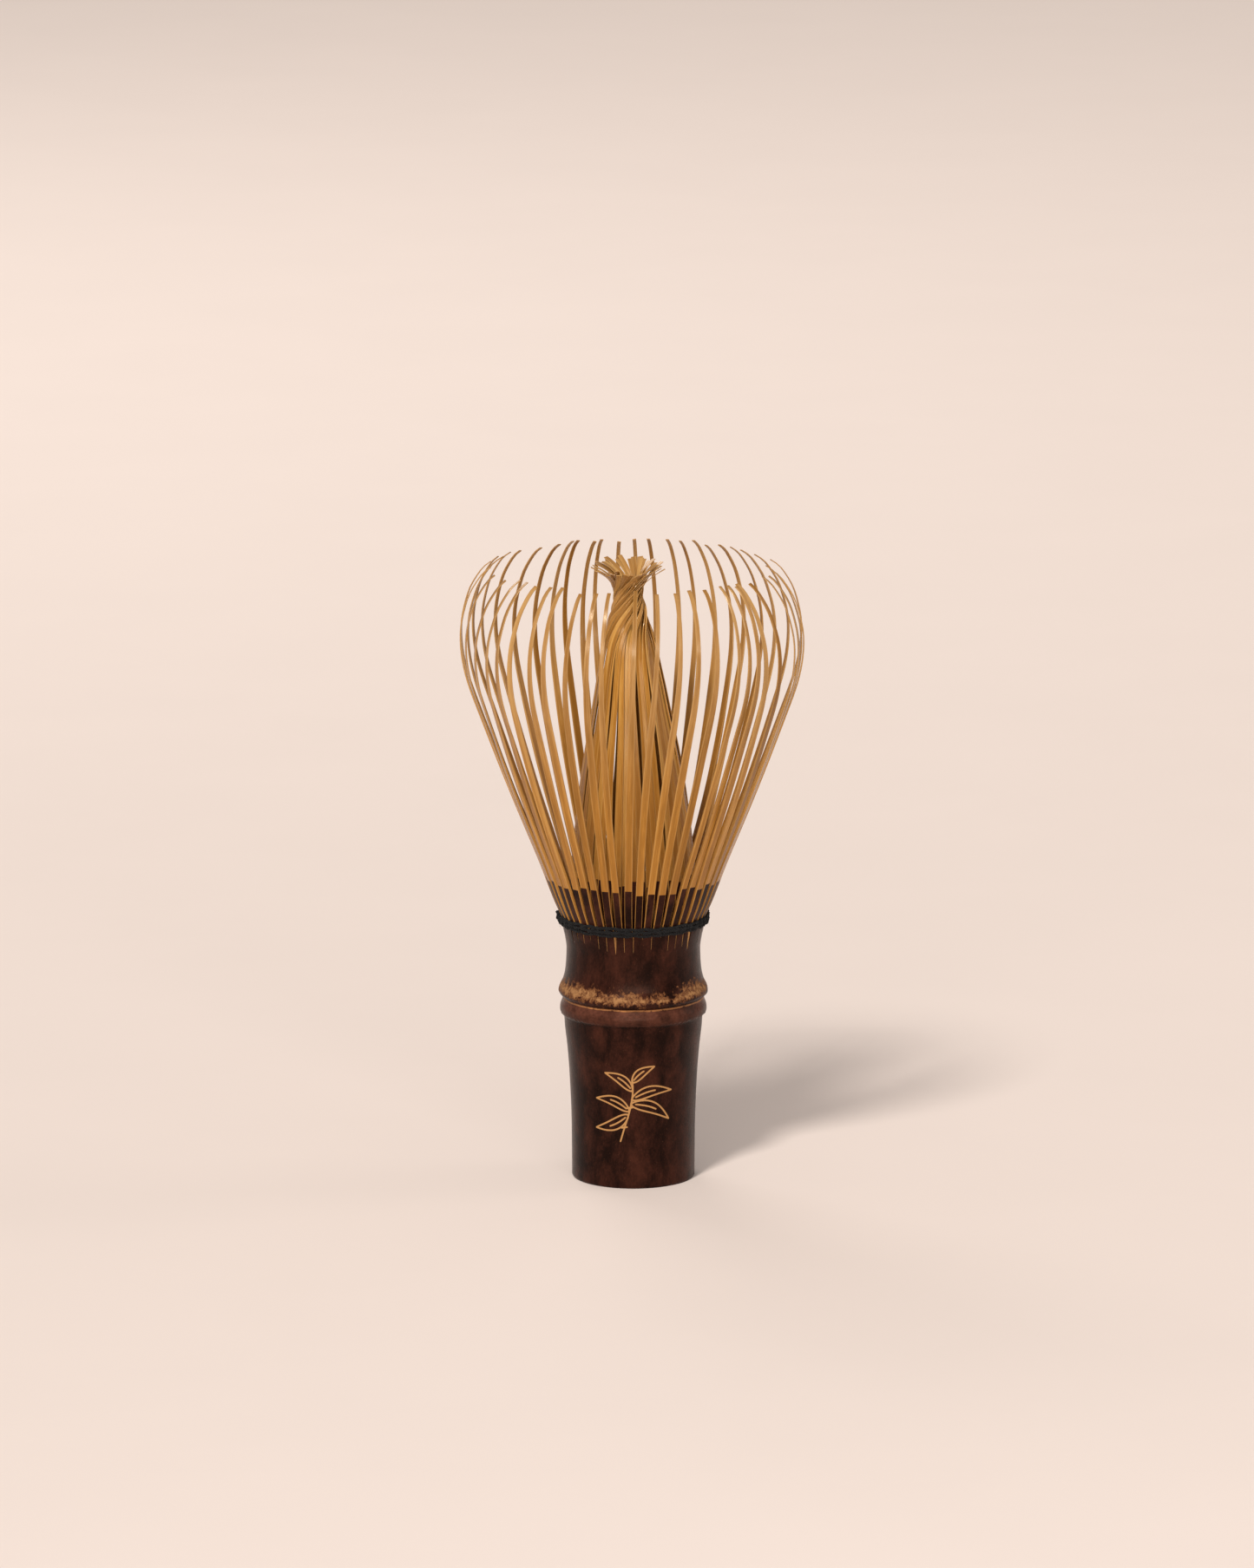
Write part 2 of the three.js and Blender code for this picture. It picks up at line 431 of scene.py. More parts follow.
def red_ridge_and_painted_highlight(m, p, z, wander, rub):
    """How red the skin is: only between the two ridges, where it is thin, with a painted highlight rising
    towards the groove.
    """
    ragged = m.noise(m.stretched(p, (0.95, 0.95, 0.8), (5, 1, 8)), detail=6.0, roughness=0.72)
    level = m.plus(z, m.times(m.minus(ragged, 0.5), 0.5))
    above_edge = m.step(level, RIDGE_EDGE_Z - 0.25, RIDGE_EDGE_Z + 0.15)
    below_groove = m.step(level, WORN_LINE_Z + 0.18, WORN_LINE_Z - 0.42)
    # Painted highlight: lighter and redder up towards the groove, where the ridge's upper slope faces the
    # lamps.
    painted_highlight_upward = m.plus(m.times(m.step(z, RIDGE_EDGE_Z + 0.05, WORN_LINE_Z - 0.62), 0.5), 0.35)
    round_it = m.plus(m.times(wander, 2.6), 0.85, clamp=True)
    rubbed = m.plus(m.times(m.step(rub, 0.25, 0.75), 0.5), 0.5)
    return m.times(m.times(m.times(above_edge, below_groove), painted_highlight_upward), m.times(round_it, rubbed))


def scar_depth(m, p, z):
    """How far a point is inside the pale sheath scar, with ragged edges. Outside it is below 0."""
    under_top = m.times(m.attribute("above_scar"), -1.0)
    inside = m.math("MINIMUM", under_top, m.times(m.minus(z, SCAR_FOOT_Z), 1.6))
    patchy = m.noise(
        m.stretched(p, (1.05, 1.05, 0.85), (8, 2, 6)), detail=7.0, roughness=0.74, distortion=0.5,
    )
    return m.plus(inside, m.times(m.minus(patchy, 0.5), 10.0))


def worn_line(m, z, wander, rub):
    """The thin line in the node's groove, worn through the skin and faded in places."""
    off = m.math("ABSOLUTE", m.minus(m.plus(z, m.times(wander, 0.25)), WORN_LINE_Z))
    worn = m.times(m.step(rub, 0.28, 0.5), m.plus(wander, 0.75, clamp=True))
    return m.times(m.step(off, 0.24, 0.09), worn)


def skin_material():
    """The culm's outside: smoked skin, and what the node, the splits and the drawing show in it."""
    m = Material(
        "smoked_bamboo_skin", IOR=1.26, Specular_IOR_Level=0.34, Specular_Tint=(1.0, 0.6, 0.45, 1),
    )
    p = m.place()
    z = height_of(m, p)
    wander = m.minus(m.noise(m.stretched(p, (0.35, 0.35, 0.35), (3, 3, 3)), detail=2.0), 0.5)
    rub = m.noise(m.stretched(p, (1.3, 1.3, 2.0), (1, 4, 2)), detail=4.0, roughness=0.6)
    scar = scar_depth(m, p, z)
    line = worn_line(m, z, wander, rub)
    split = m.step(m.attribute("split"), 0.2, 0.45)
    drawn = m.step(m.attribute("mark"), LINE_WIDTH / 2 + LINE_FADE, LINE_WIDTH / 2 - LINE_FADE)

    # Red skin between the ridges, with its painted highlight towards the groove.
    colour = m.mix(red_ridge_and_painted_highlight(m, p, z, wander, rub), skin_colour(m, p), RIDGE_RED)
    colour = m.mix(m.step(scar, -0.1, 0.5), colour, SCAR_BROWN)
    colour = m.mix(m.step(scar, 0.4, 2.2), colour, SCAR_TAN)
    colour = m.mix(line, colour, GROOVE_GOLD)
    colour = m.mix(split, colour, m.mix(m.noise(p, 1.2), SPLIT_GOLD, SPLIT_PALE))
    colour = m.mix(drawn, colour, m.mix(m.noise(p, 2.5, detail=4.0), MARK_BROWN, MARK_TAN))
    m.colour(colour)

    bare = m.math("MAXIMUM", m.step(scar, 0.0, 0.9), drawn)
    bare = m.math("MAXIMUM", bare, m.math("MAXIMUM", split, line))
    gloss = m.noise(m.stretched(p, (1.2, 1.2, 0.5), (4, 4, 4)), detail=4.0)
    m.roughness(m.plus(m.plus(m.times(gloss, 0.2), 0.2), m.times(bare, 0.3)))

    streaks = m.noise(m.stretched(p, (7, 7, 0.35)), detail=3.0)
    pits = m.noise(m.stretched(p, (2.4, 2.4, 1.8)), detail=5.0, roughness=0.65)
    relief = m.plus(m.times(streaks, 0.3), m.times(pits, 0.9))
    m.bump(m.minus(relief, m.times(drawn, 0.8)), 0.06, 0.6)
    return m.material


def cut_material():
    """The culm's cut end, hollow and wall: pale wood with the dark ends or lines of its fibre bundles."""
    m = Material("cut_bamboo", Roughness=0.62)
    p = m.place()
    dots = m.node("ShaderNodeTexVoronoi", feature="F1")
    m.feed(dots.inputs["Vector"], m.stretched(p, (2.6, 2.6, 0.16)))
    dots.inputs["Scale"].default_value = 1.0
    bundle = m.step(dots.outputs["Distance"], 0.36, 0.2)
    grain = m.noise(m.stretched(p, (2.2, 2.2, 0.15)), detail=4.0)
    stain = m.noise(m.stretched(p, (0.3, 0.3, 0.3)), detail=4.0)
    wood = m.mix(grain, CUT_BROWN, CUT_PALE)
    wood = m.mix(m.times(m.step(stain, 0.45, 0.7), 0.5), wood, CUT_STAIN)
    m.colour(m.mix(m.times(bundle, 0.6), wood, CUT_BUNDLE))
    m.bump(m.plus(grain, m.times(bundle, 0.3)), 0.05, 0.6)
    return m.material


def fine_grain(m):
    """Hair-fine fibres that run along a strip."""
    return m.noise(m.stretched(m.attribute("fibre", "Vector"), (9, 9, 0.22)), detail=4.0, roughness=0.6)


def strip_material():
    """Shaved bamboo with its grain along the strip."""
    m = Material("shaved_bamboo", Specular_IOR_Level=0.34, Specular_Tint=(1.0, 0.88, 0.7, 1))
    to_tip = m.attribute("to_tip")
    fine = fine_grain(m)
    broad = m.noise(m.stretched(m.attribute("fibre", "Vector"), (1.3, 1.3, 0.06), (3, 3, 3)), detail=3.0)
    share = m.plus(m.times(fine, 0.55), m.times(broad, 0.6))
    share = m.plus(share, m.times(m.attribute("tone"), 0.12))
    colour = m.mix(m.step(share, 0.36, 0.8), FLESH_BROWN, FLESH_GOLD)
    colour = m.mix(m.times(m.step(share, 0.62, 0.95), 0.8), colour, FLESH_PALE)
    # Painted highlight: paler along both edges, where the broken corners would catch the light.
    edge = m.step(m.math("ABSOLUTE", m.attribute("across")), 0.6, 0.97)
    colour = m.mix(m.times(edge, 0.34), colour, EDGE_PAINTED_HIGHLIGHT)
    # Browner towards the roots as painted shade and painted warm reflection between the crowded strips,
    # drier and greyer towards the tips, and brown again at the cut end.
    colour = m.mix(m.times(m.step(to_tip, 46.0, 72.0), 0.34), colour, ROOT_PAINTED_SHADE)
    dry = m.times(m.step(to_tip, 50.0, 12.0), m.step(share, 0.25, 0.75))
    colour = m.mix(m.times(dry, 0.55), colour, FLESH_ASHEN)
    colour = m.mix(m.times(m.step(to_tip, 0.7, 0.1), 0.35), colour, FLESH_BROWN)
    m.colour(colour)
    m.roughness(m.plus(m.times(fine, 0.14), 0.15))
    m.bump(fine, 0.025, 0.5)
    return m.material


def kept_skin_material():
    """The smoked skin that is left on the strips near their roots."""
    m = Material(
        "smoked_skin_on_strips", IOR=1.3, Specular_IOR_Level=0.3, Specular_Tint=(1.0, 0.5, 0.35, 1),
    )
    fine = fine_grain(m)
    m.colour(skin_colour(m, m.place()))
    m.roughness(m.plus(m.times(fine, 0.2), 0.32))
    m.bump(fine, 0.03, 0.5)
    return m.material


def thread_material():
    """Matt black cotton with a little lint."""
    m = Material(
        "black_cotton", Roughness=0.95, Specular_IOR_Level=0.15,
        Sheen_Weight=0.12, Sheen_Roughness=0.5, Sheen_Tint=(0.5, 0.5, 0.5, 1),
    )
    lint = m.noise(m.place(), 9.0)
    m.colour(m.mix(m.step(lint, 0.35, 0.75), COTTON_BLACK, COTTON_GREY))
    m.bump(m.noise(m.place(), 14.0, detail=2.0), 0.05, 0.7)
    return m.material


SKIN = skin_material()
CUT = cut_material()
SHAVED = strip_material()
KEPT_SKIN = kept_skin_material()
COTTON = thread_material()


# --- The drawing on the culm: a bamboo sprig in outline, in millimetres across and up ---

# The drawing is laid round the culm as if its radius were this, inside this box.
MARK_RADIUS = 12.0
MARK_HALF_WIDTH = 9.5
MARK_BOTTOM, MARK_TOP = 8.4, 25
FAR_FROM_MARK = 9.0

STEM = [(-2.5, 9.3), (-1.7, 12.0), (-0.9, 14.6), (-0.35, 17.0), (-0.1, 19.4), (-0.2, 21.2)]
STEM_TICKS = [(-1.72, 12.0), (-0.62, 15.9)]
# Each leaf: its base, its tip, its width and how far its middle bends aside.
LEAVES = [
    ((-0.95, 14.5), (-7.6, 11.6), 2.1, 0.7), ((-0.75, 15.3), (-7.4, 17.4), 1.9, -0.9),
    ((-0.45, 16.7), (7.2, 13.4), 2.2, 0.9), ((-0.3, 17.6), (7.6, 19.0), 2.0, 0.9),
    ((-0.15, 19.3), (-5.4, 22.6), 1.8, -0.7), ((-0.2, 21.0), (3.9, 24.0), 1.7, 0.5),
]


def leaf(base, tip, width, bend):
    """The two edges of a leaf and the vein down its middle."""
    base, tip = np.array(base), np.array(tip)
    forward = tip - base
    side = np.array([-forward[1], forward[0]]) / np.linalg.norm(forward)
    t = np.linspace(0, 1, 30)[:, None]
    middle = base + forward * t + side * bend * np.sin(math.pi * t)
    half = width / 2 * np.sin(math.pi * t ** 0.72) ** 0.9
    vein = middle[(t[:, 0] > 0.1) & (t[:, 0] < 0.62)]
    return [middle + side * half, middle - side * half, vein]


def drawing():
    """All lines of the drawing as short segments: their starts and their ends."""
    stem, length = spline(STEM)
    lines = [stem(np.linspace(0, length, 40))]
    for u, v in STEM_TICKS:
        lines.append(np.array([(u - 0.5, v - 0.05), (u, v + 0.08), (u + 0.5, v + 0.12)]))
    for shape in LEAVES:
        lines += leaf(*shape)
    starts = np.concatenate([line[:-1] for line in lines])
    ends = np.concatenate([line[1:] for line in lines])
    return starts, ends


def distance_to_drawing(places):
    """How far each (across, up) place is from the nearest line."""
    across, up = places.T
    in_box = (np.abs(across) < MARK_HALF_WIDTH) & (MARK_BOTTOM < up) & (up < MARK_TOP)
    u, v = across[in_box], up[in_box]
    best = np.full(u.shape, FAR_FROM_MARK)
    for (ax, ay), (bx, by) in zip(*drawing()):
        dx, dy = bx - ax, by - ay
        t = np.clip(((u - ax) * dx + (v - ay) * dy) / (dx * dx + dy * dy + 1e-9), 0, 1)
        best = np.minimum(best, np.hypot(u - ax - t * dx, v - ay - t * dy))
    distances = np.full(len(places), FAR_FROM_MARK)
    distances[in_box] = best
    return distances


# --- The culm ---

# Columns of points from one split to the next: few round the back, more where the drawing is.
COARSE, FINE = 6, 14
FRONT_REACH = 5
NARROWEST_SPLIT, WIDEST_SPLIT = 0.09, 0.26
SHORTEST_SPLIT, LONGEST_SPLIT = 0.6, 3.4
DEEPEST_SPLIT = 0.7
# Splits that the photo shows open: number round the culm, width at the thread, height of the lower end.
OPEN_SPLITS = {
    28: (0.52, 47.0), 29: (0.48, 47.4), 30: (0.5, 47.5), 34: (0.74, 46.0), 36: (0.2, 46.5), 38: (0.16, 46.9),
    40: (0.24, 46.4), 41: (0.26, 46.6), 42: (0.5, 46.8), 43: (1.1, 45.9),
}
# The top of the sheath scar round the front: degrees from the front, height.
SCAR_TOP = [
    (-180, 38.5), (-150, 39), (-120, 38.3), (-95, 38.8), (-60, 39.2), (-36, 38.8), (-25, 38.4), (0, 38.5),
    (10, 38.1), (27, 38.1), (31, 36.5), (36, 38), (51, 39), (62, 39.3), (90, 38.5), (110, 36.9), (125, 38.7),
    (155, 39), (180, 38.5),
]


def culm_columns():
    """For each column: the split on its left, its place after it, and the columns to the next split."""
    nearest = round(FRONT / PITCH) % TINES
    columns = []
    for k in range(TINES):
        offset = (k - nearest + TINES // 2) % TINES - TINES // 2
        count = FINE if -FRONT_REACH - 1 <= offset <= FRONT_REACH else COARSE
        columns += [(k, index, count) for index in range(count)]
    return [np.array(numbers) for numbers in zip(*columns)]


def culm_heights():
    """The rows of points, closest at the cut end, the drawing, the ridges and the splits."""
    return np.concatenate([
        [0.0, 0.05, 0.16, 0.34], np.arange(0.8, 8.6, 0.8), np.arange(8.7, 24.7, 0.15),
        np.arange(25.0, 31.3, 0.5), np.arange(31.4, 32.8, 0.1), np.arange(32.9, 39.6, 0.2),
        np.arange(39.8, 45.2, 0.5), np.arange(45.3, CULM_TOP, 0.25), [CULM_TOP],
    ])


def culm_splits():
    """The width at the thread, the lower end and the slant of the split at each number."""
    rng = random.Random(CULM_SEED)
    widths = np.array([rng.uniform(NARROWEST_SPLIT, WIDEST_SPLIT) for _ in range(TINES)])
    ends = np.array([CULM_TOP - rng.uniform(SHORTEST_SPLIT, LONGEST_SPLIT) for _ in range(TINES)])
    slants = np.array([rng.uniform(-0.35, 0.35) for _ in range(TINES)])
    for number, (width, end) in OPEN_SPLITS.items():
        widths[number], ends[number] = width, end
    return widths, ends, slants


def culm_ripples(azimuth):
    """How uneven the culm is round its axis: its waist, all of it, its wrinkles and its ridges."""
    rng = random.Random(WEAR_SEED)
    waist = ripple(rng, (2, 3, 5), azimuth)
    whole = ripple(rng, (2, 3, 5), azimuth)
    wrinkles = ripple(rng, (29, 41, 53, 67, 83), azimuth)
    ridges = ripple(rng, (7, 11, 17, 23), azimuth)
    return waist, whole, wrinkles, ridges


def culm_radius(radius, z, ripples):
    """The radius at every column of the row at this height."""
    waist, whole, wrinkles, ridges = ripples
    r = radius + 0.08 * waist * smooth(0, 30, z) * (1 - smooth(40, 48, z)) + 0.03 * whole
    if z < 0.3:
        # The edge of the cut end is rubbed round.
        r = r - 0.22 * (1 - smooth(-0.05, 0.32, z))
    # The lower ridge ends in a wrinkled edge, and the upper one is a little uneven.
    at_edge = np.exp(-(((z - RIDGE_EDGE_Z + 0.12 * ridges) / 0.3) ** 2))
    r = r + 0.11 * at_edge * wrinkles
    at_upper = np.exp(-(((z - UPPER_RIDGE_Z) / 0.8) ** 2))
    return r + 0.05 * at_upper * (ridges + 0.6 * wrinkles)


def culm_row(z, r, columns, splits):
    """One row of the outside: its points, how far each is in a split, and its angle from the front."""
    k, index, count = columns
    widths, ends, slants = splits
    right = (k + 1) % TINES
    at_split = index == 0
    reach = np.clip((z - ends) / (CULM_TOP - ends), 0, 1)
    half = 0.5 * widths * reach ** 0.8 + 0.02
    # Columns beside a split close in on it below its end, then open with it.
    closing = smooth(-1.6, 0.0, z - ends)
    spacing = PITCH / count
    from_left = spacing + (half[k] / r - spacing) * closing[k]
    from_right = spacing + (half[right] / r - spacing) * closing[right]
    share = (index - 1) / (count - 2)
    aside = np.where(
        at_split, slants[k] * half[k] / r, from_left + share * (PITCH - from_left - from_right),
    )
    theta = k * PITCH + aside
    depth = np.where(at_split, np.minimum(DEEPEST_SPLIT, widths[k] * 1.6) * reach[k] ** 0.7, 0)
    in_split = np.where(at_split, smooth(-0.15, 0.1, z - ends[k]), 0.0)
    from_front = (theta - FRONT + math.pi) % (2 * math.pi) - math.pi
    return around(r - depth, theta, z), in_split, from_front


def culm_faces(rows, skin_rows, n):
    """Faces through the rows of n points, with a fan at each end, and the material of each."""
    faces = grid_faces(rows, n)
    slots = []
    for row in range(rows - 1):
        slots += [0 if row in skin_rows else 1] * n
    last = (rows - 1) * n
    top, bottom = rows * n, rows * n + 1
    faces += [(last + j, last + (j + 1) % n, top) for j in range(n)]
    faces += [((j + 1) % n, j, bottom) for j in range(n)]
    return faces, slots + [1] * (2 * n)


def culm():
    """The handle: the bore, the outside with its splits, the cup and the node's wall."""
    columns = culm_columns()
    k, index, count = columns
    azimuth = (k + index / count) * PITCH
    ripples = culm_ripples(azimuth)
    splits = culm_splits()
    outside = even_profile(CULM_OUTSIDE)
    rows, in_splits, places, above_scar = [], [], [], []
    for z in culm_heights():
        points, in_split, from_front = culm_row(z, culm_radius(outside(z), z, ripples), columns, splits)
        rows.append(points)
        in_splits.append(in_split)
        places.append(np.column_stack(np.broadcast_arrays(from_front * MARK_RADIUS, z)))
        above_scar.append(z - table(SCAR_TOP, np.degrees(from_front)))
    bore = [around(r, azimuth, z) for r, z in BORE_INSIDE]
    cup = [around(r, azimuth, z) for r, z in CUP_INSIDE]
    wall = np.array([[0, 0, NODE_WALL_TOP], [0, 0, NODE_WALL_BOTTOM]])

    def whole(values, elsewhere):
        """Values of the outside, with this one for the bore, the cup and the wall."""
        before = np.full(len(bore) * len(k), elsewhere)
        after = np.full(len(cup) * len(k) + len(wall), elsewhere)
        return np.concatenate([before, values, after])

    skin_rows = range(len(bore), len(bore) + len(rows) - 1)
    faces, slots = culm_faces(len(bore) + len(rows) + len(cup), skin_rows, len(k))
    shape = Shape()
    shape.add(
        np.concatenate(bore + rows + cup + [wall]), faces, slots,
        split=whole(np.concatenate(in_splits), 0.0),
        mark=whole(distance_to_drawing(np.concatenate(places)), FAR_FROM_MARK),
        above_scar=whole(np.concatenate(above_scar), 9.0),
    )
    ob = shape.mesh("culm_bamboo", [SKIN, CUT], sharp=50)
    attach(ob, "culm")
    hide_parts("culm_handle")


# --- Bamboo strips ---

CORNERS = 8


def strip_section(width, thickness):
    """The corners of a strip's section, with its edges broken: out of the face, across it."""
    w, t = width / 2, thickness
    c = min(0.075, t * 0.27)
    return [
        (0, -w + c), (0, w - c), (-c, w), (-t + c, w), (-t, w - c), (-t, -w + c), (-t + c, -w), (-c, -w),
    ]


def strip(shape, path, across, widths, thicknesses, grain, tone, skin_end, along, to_tip):
    """One strip of bamboo, with the culm's skin on its outer face up to the height skin_end.

    path is the middle of its outer face, and across is its width direction. grain picks the strip's own
    part of the grain pattern, and tone is how light it is. along and to_tip are its lengths from its root
    and to its tip.
    """
    n = len(path)
    forward = unit(np.gradient(path, axis=0))
    side = unit(across - np.sum(across * forward, axis=1, keepdims=True) * forward)
    out = np.cross(side, forward)
    points, fibres, shares = [], [], []
    for i in range(n):
        for depth, aside in strip_section(widths[i], thicknesses[i]):
            points.append(path[i] + out[i] * depth + side[i] * aside)
            fibres.append((aside + grain * 1.37, depth + grain * 0.73, along[i]))
            shares.append(aside / (widths[i] / 2))
    faces = grid_faces(n, CORNERS)
    slots = []
    for height in (path[:-1, 2] + path[1:, 2]) / 2:
        slots += [0 if height < skin_end else 1] + [1] * (CORNERS - 1)
    last = (n - 1) * CORNERS
    faces += [tuple(reversed(range(CORNERS))), tuple(last + j for j in range(CORNERS))]
    slots += [1, 1]
    shape.add(
        points, faces, slots,
        fibre=np.array(fibres),
        across=shares,
        tone=np.full(n * CORNERS, tone),
        to_tip=np.repeat(to_tip, CORNERS),
    )


def with_row_at(s, face, height):
    """The stations s with one more, where the face reaches this height near its root."""
    z = face(s)[:, 1]
    near_root = s < 30
    return np.sort(np.append(s, np.interp(height, z[near_root], s[near_root])))


def outward(azimuth):
    """Directions straight out from the axis."""
    return around(np.ones_like(azimuth), azimuth, 0.0)


def sideways(azimuth):
    """Directions level and square to outward, anticlockwise seen from above."""
    return np.column_stack([-np.sin(azimuth), np.cos(azimuth), np.zeros_like(azimuth)])


def outer_tine(number):
    """One outer tine, from the thread to its tip, with its own lean, bow, width and roll."""
    rng = random.Random(TINE_SEED + number)
    skin_end = SKIN_END + random.Random(TINE_SKIN_SEED + number).uniform(-0.55, 0.55)
    azimuth = (number - 0.5) * PITCH
    face, length = spline(TINE_FACE)
    length = length - max(0.0, rng.gauss(0.35, 0.35))
    bend, blade = np.linspace(0, 12, 11)[:-1], np.linspace(12, length, 48)
    s = with_row_at(np.concatenate([bend, blade]), face, skin_end)
    r, z = face(s).T
    t = s / length

    lean = math.radians(TIP_LEANS[number - 1] + held(rng.gauss(0, 0.8), 1.5))
    bow = held(rng.gauss(0, 0.4), 1.0) * PITCH * 0.28
    a = azimuth + (lean * (t ** 1.5) + bow * np.sin(math.pi * t ** 0.8) * smooth(0, 0.25, t))
    r = r + held(rng.gauss(0, 0.75), 1.7) * t ** 2.2 + rng.gauss(0, 0.16) * np.sin(math.pi * t)
    roll = math.radians(held(rng.gauss(0, 14), 28)) * t ** 1.5
    across = sideways(a + roll) * np.cos(roll)[:, None] + outward(a) * np.sin(roll)[:, None] * 0.2
    width = table(TINE_WIDTH, s) * (1 + held(rng.gauss(0, 0.07), 0.16))
    thickness = table(TINE_THICKNESS, s) * (1 + rng.gauss(0, 0.05))

    shape = Shape()
    strip(
        shape, around(r, a, z), across, width, thickness,
        grain=number * 3.1, tone=rng.gauss(0, 1), skin_end=skin_end, along=s, to_tip=s[-1] - s,
    )
    node = f"outer_tine_{number:02d}"
    ob = shape.mesh(f"tine_{number:02d}", [KEPT_SKIN, SHAVED], sharp=25)
    root = Vector(around(TINE_ROOT_RADIUS, azimuth, THREAD_Z)[0]) * MM
    free = Vector(around(TINE_FREE_RADIUS, azimuth, FREE_Z)[0]) * MM
    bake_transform(ob)
    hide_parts(node)


def neck_turn(z):
    """How far the bundle is turned round its axis at height z, in radians."""
    return NECK_TWIST / 2 * (1 + np.tanh((z - NECK_HEIGHT) / NECK_TWIST_REACH))


def strand_drift(rng, z, gather, spread):
    """How far a strand wanders to one side of its place, in shares of the pitch."""
    drift = rng.gauss(0, 0.55) * np.sin(math.pi * smooth(52, 104, z)) * 0.34
    drift = drift + rng.gauss(0, 0.26) * gather
    swing = 0.18 * rng.gauss(0, 1)
    wave = np.sin((z - 50) / rng.uniform(9, 14) + rng.uniform(0, 6))
    return drift + swing * wave * gather + spread * rng.gauss(0, 0.4)


def inner_strand(shape, number):
    """One inner tine, from its root behind the thread through the twisted neck to its tip in the flare."""
    rng = random.Random(STRAND_SEED + number)
    skin_end = SKIN_END + 0.6 + random.Random(STRAND_SKIN_SEED + number).uniform(-0.6, 0.6)
    face, length = spline(BUNDLE_FACE)
    length = length - rng.uniform(0, 0.8)
    cone, neck = np.linspace(0, 52, 27)[:-1], np.linspace(52, length, 40)
    s = with_row_at(np.concatenate([cone, neck]), face, skin_end)
    r, z = face(s).T
    # 0 at the roots and 1 where the strands lie close, where they are pressed together, and in the flare.
    gather = smooth(58, 96, z)
    tight = smooth(98, 111, z)
    spread = smooth(112.5, 117.5, z)

    # Strands slide over and under their neighbours as the bundle narrows.
    layer = STRAND_LAYERS[(number * 3 + rng.randrange(2)) % len(STRAND_LAYERS)]
    r = r + layer * (gather + 0.7 * tight) * (1 - 0.3 * smooth(114, 117.5, z))
    r = r + rng.gauss(0, 0.12) * gather
    r = r + spread * rng.gauss(0, 0.35)
    drift = strand_drift(rng, z, gather, spread)
    a = number * PITCH + drift * PITCH + neck_turn(z) + tight * rng.gauss(0, 0.05)
    # The flare is a little higher at the back.
    z_up = z + spread * (rng.gauss(0.1, 0.2) + 0.5 * np.sin(a))
    path = around(r, a, z_up)
    path[:, 0] += BUNDLE_LEAN * ((z - BUNDLE_ROOT_Z) / (BUNDLE_TIP_Z - BUNDLE_ROOT_Z)).clip(0) ** 2
    # In the neck the strands stand partly on edge, one over the next.
    on_edge = smooth(99, 109, z) * (1 - smooth(114, 117, z))
    roll = math.radians(rng.gauss(0, 9)) * gather + (0.45 + rng.gauss(0, 0.15)) * on_edge
    width = table(STRAND_WIDTH, z) * (1 + held(rng.gauss(0, 0.1), 0.2))
    strip(
        shape, path, sideways(a + roll), width, table(STRAND_THICKNESS, z),
        grain=400 + number * 2.7, tone=rng.gauss(0.7, 1.1), skin_end=skin_end,
        along=s, to_tip=s[-1] - s + STRAND_LESS_DRY,
    )


def inner_group(group):
    """The neighbouring inner tines that share one CAD node."""
    shape = Shape()
    first = group * STRANDS_IN_GROUP - STRANDS_IN_GROUP // 2
    for i in range(STRANDS_IN_GROUP):
        inner_strand(shape, (first + i) % TINES)
    ob = shape.mesh(f"inner_strands_{group + 1}", [KEPT_SKIN, SHAVED], sharp=25)
    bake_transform(ob)
    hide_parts(f"inner_tines_{group + 1}")


# --- The thread ---

PLY_RADIUS = 0.19
PLY_OFFSET = 0.16
# One full turn of the two plies takes this length of cord.
PLY_TWIST = 1.15
PLY_SIDES = 6
PLY_STEPS_PER_TURN = 7
# The rounds outside the tines: height, radius, phase of the twist.
ROUNDS = [(49.78, 13.98, 0.3), (50.4, 14.12, 0.0), (51.0, 14.06, 0.7)]
ROUND_STEPS = 1200
INSIDE_RADIUS = 12.72
CROSSING_START, CROSSING_LENGTH = 13.75, 1.0
# A stitch slants over a tine, this far to each side in shares of the pitch. Not every tine has one.
STITCH_RADIUS = 14.12
STITCH_REACH = 0.42
STITCH_CHANCE = 0.75
LINT_COUNT = 620
LINT_RADIUS = 0.017


def cord_frame(path):
    """Two directions square to the path, at each of its points."""
    forward = unit(np.gradient(path, axis=0))
    # Any direction that the cord never runs in.
    aside = unit(np.cross(forward, np.array([0.13, 0.21, 0.97])))
    return aside, np.cross(forward, aside)


def tube(shape, path, radius, sides):
    """A round cord along a path, closed at both ends."""
    n = len(path)
    aside, up = cord_frame(path)
    angles = np.arange(sides) / sides * 2 * math.pi
    radius = np.broadcast_to(radius, (n,))
    points = (
        path[:, None, :]
        + aside[:, None, :] * (np.cos(angles)[None, :, None] * radius[:, None, None])
        + up[:, None, :] * (np.sin(angles)[None, :, None] * radius[:, None, None])
    )
    faces = grid_faces(n, sides)
    faces += [tuple(reversed(range(sides))), tuple((n - 1) * sides + j for j in range(sides))]
    shape.add(points.reshape(-1, 3), faces)


def plied(shape, path, scale=1.0, phase=0.0):
    """A cord of two twisted plies along a path."""
    lengths = np.concatenate([[0], np.cumsum(np.linalg.norm(np.diff(path, axis=0), axis=1))])
    steps = int(lengths[-1] / PLY_TWIST * PLY_STEPS_PER_TURN) + 4
    even = np.linspace(0, lengths[-1], steps)
    path = np.column_stack([np.interp(even, lengths, path[:, i]) for i in range(3)])
    aside, up = cord_frame(path)
    for ply in range(2):
        turn = even / PLY_TWIST * 2 * math.pi + ply * math.pi + phase
        offset = aside * np.cos(turn)[:, None] + up * np.sin(turn)[:, None]
        tube(shape, path + offset * PLY_OFFSET * scale, PLY_RADIUS * scale, PLY_SIDES)


